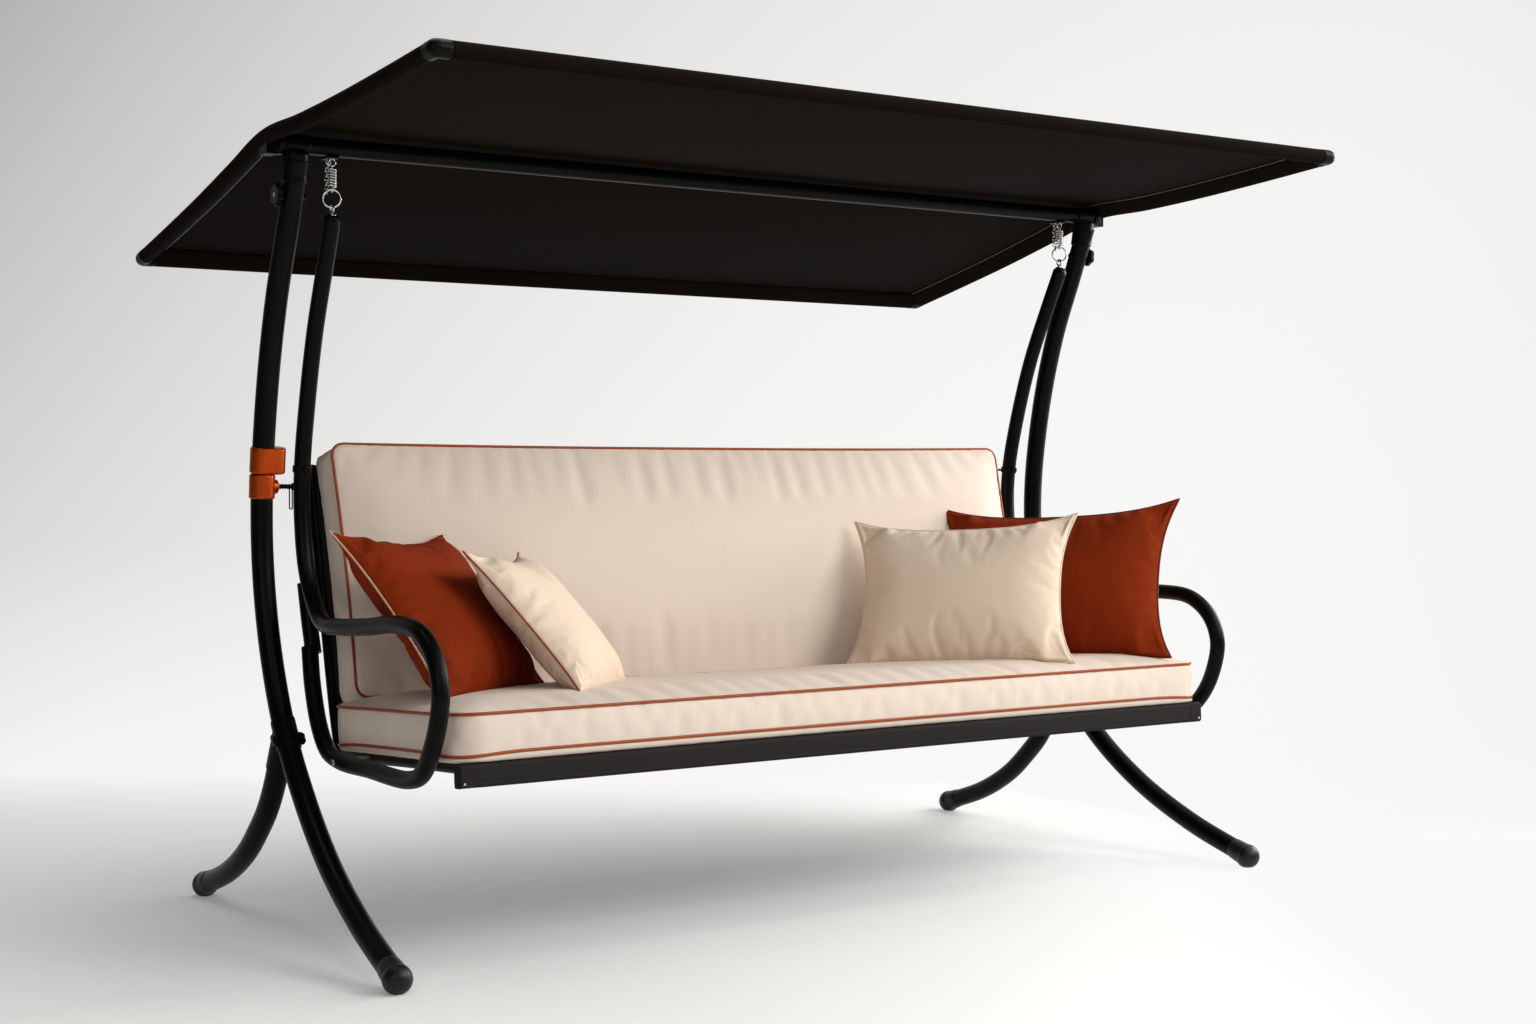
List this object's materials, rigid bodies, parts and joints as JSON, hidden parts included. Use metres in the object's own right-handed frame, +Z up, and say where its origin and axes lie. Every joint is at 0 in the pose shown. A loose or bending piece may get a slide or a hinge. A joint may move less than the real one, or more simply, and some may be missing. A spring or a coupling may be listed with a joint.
{
  "type": "canopy swing seat",
  "caption": "Garden swing seat hung on springs under a tilting canopy, with a padded seat and back, loose pillows and a swing brake.",
  "frame": {"origin": "on the ground, under the middle of the crossbar, in the centre of the bounding box's base", "axes": "+X along the crossbar, to the right in the picture, which is the sitter's left; -Y to the front of the seat; +Z up"},
  "size_m": [2.4826, 1.6873, 1.8278],
  "materials": {
    "frame": "satin",
    "rubber": "matte",
    "fittings": "polished",
    "knob": "satin",
    "copper_paint": "satin",
    "canopy_cloth": "matte",
    "sling_cloth": "matte",
    "cream_cloth": "matte",
    "rust_cloth": "matte"
  },
  "bodies": {
    "stand": {"left_post": "frame", "right_post": "frame", "left_rear_leg": "frame", "right_rear_leg": "frame", "left_front_foot": "rubber", "right_front_foot": "rubber", "left_rear_foot": "rubber", "right_rear_foot": "rubber", "left_leg_bracket": "frame", "right_leg_bracket": "frame", "left_leg_bolt": "fittings", "right_leg_bolt": "fittings", "left_post_head": "frame", "right_post_head": "frame", "left_hook_eye": "fittings", "right_hook_eye": "fittings", "crossbar": "frame", "brake_collar": "copper_paint", "brake_clamp": "copper_paint", "brake_spring": "frame"},
    "left_knob": {"left_tilt_knob": "knob"},
    "right_knob": {"right_tilt_knob": "knob"},
    "canopy": {"canopy_left_rail": "frame", "canopy_right_rail": "frame", "canopy_front_bar": "frame", "canopy_rear_bar": "frame", "left_canopy_bracket": "frame", "right_canopy_bracket": "frame", "canopy_fabric": "canopy_cloth"},
    "springs": {"left_spring": "fittings", "right_spring": "fittings", "left_chain": "fittings", "right_chain": "fittings"},
    "rings": {"left_ring": "fittings", "right_ring": "fittings"},
    "seat": {"left_hanger_eye": "fittings", "right_hanger_eye": "fittings", "left_arm_hanger": "frame", "right_arm_hanger": "frame", "left_seat_rail": "frame", "right_seat_rail": "frame", "left_seat_bolt": "fittings", "right_seat_bolt": "fittings", "left_back_stay": "frame", "right_back_stay": "frame", "seat_front_rail": "frame", "seat_rear_rail": "frame", "back_top_rail": "frame", "seat_sling": "sling_cloth", "back_sling": "sling_cloth", "seat_cushion": "cream_cloth", "back_cushion": "cream_cloth", "left_rust_pillow": "rust_cloth", "right_rust_pillow": "rust_cloth", "left_cream_pillow": "cream_cloth", "right_cream_pillow": "cream_cloth"},
    "plunger": {"brake_plunger": "frame"},
    "pull_loop": {"brake_loop": "frame"}
  },
  "joints": [
    {"name": "canopy_tilt", "type": "hinge", "parent": "stand", "child": "canopy", "pos_m": [0, 0, 1.738], "axis": [1, 0, 0], "range_deg": [-8, 30]},
    {"name": "left_knob_turn", "type": "hinge", "parent": "stand", "child": "left_knob", "pos_m": [-1.16052, 0.01782, 1.628], "axis": [1, 0, 0], "continuous": true},
    {"name": "right_knob_turn", "type": "hinge", "parent": "stand", "child": "right_knob", "pos_m": [1.16052, 0.01782, 1.628], "axis": [1, 0, 0], "continuous": true},
    {"name": "swing", "type": "hinge", "parent": "stand", "child": "springs", "pos_m": [0, 0, 1.6988], "axis": [1, 0, 0], "range_deg": [-20, 20]},
    {"name": "spring_bounce", "type": "slide", "parent": "springs", "child": "rings", "axis": [0, 0, 1], "range_m": [-0.02, 0.012], "stiffness_N_per_m": 18700, "springref_m": 0.014, "deforming": ["left_spring", "right_spring", "left_chain", "right_chain"]},
    {"name": "seat_rock", "type": "hinge", "parent": "rings", "child": "seat", "pos_m": [0, 0, 1.6069], "axis": [1, 0, 0], "range_deg": [-8, 8]},
    {"name": "plunger_pull", "type": "slide", "parent": "stand", "child": "plunger", "axis": [-1, 0, 0], "range_m": [0, 0.008], "stiffness_N_per_m": 400, "springref_m": -0.004, "deforming": ["brake_spring"]},
    {"name": "pull_loop_swing", "type": "hinge", "parent": "plunger", "child": "pull_loop", "pos_m": [-1.09108, 0.19783, 0.99], "axis": [0, 1, 0], "range_deg": [-5, 40]}
  ]
}
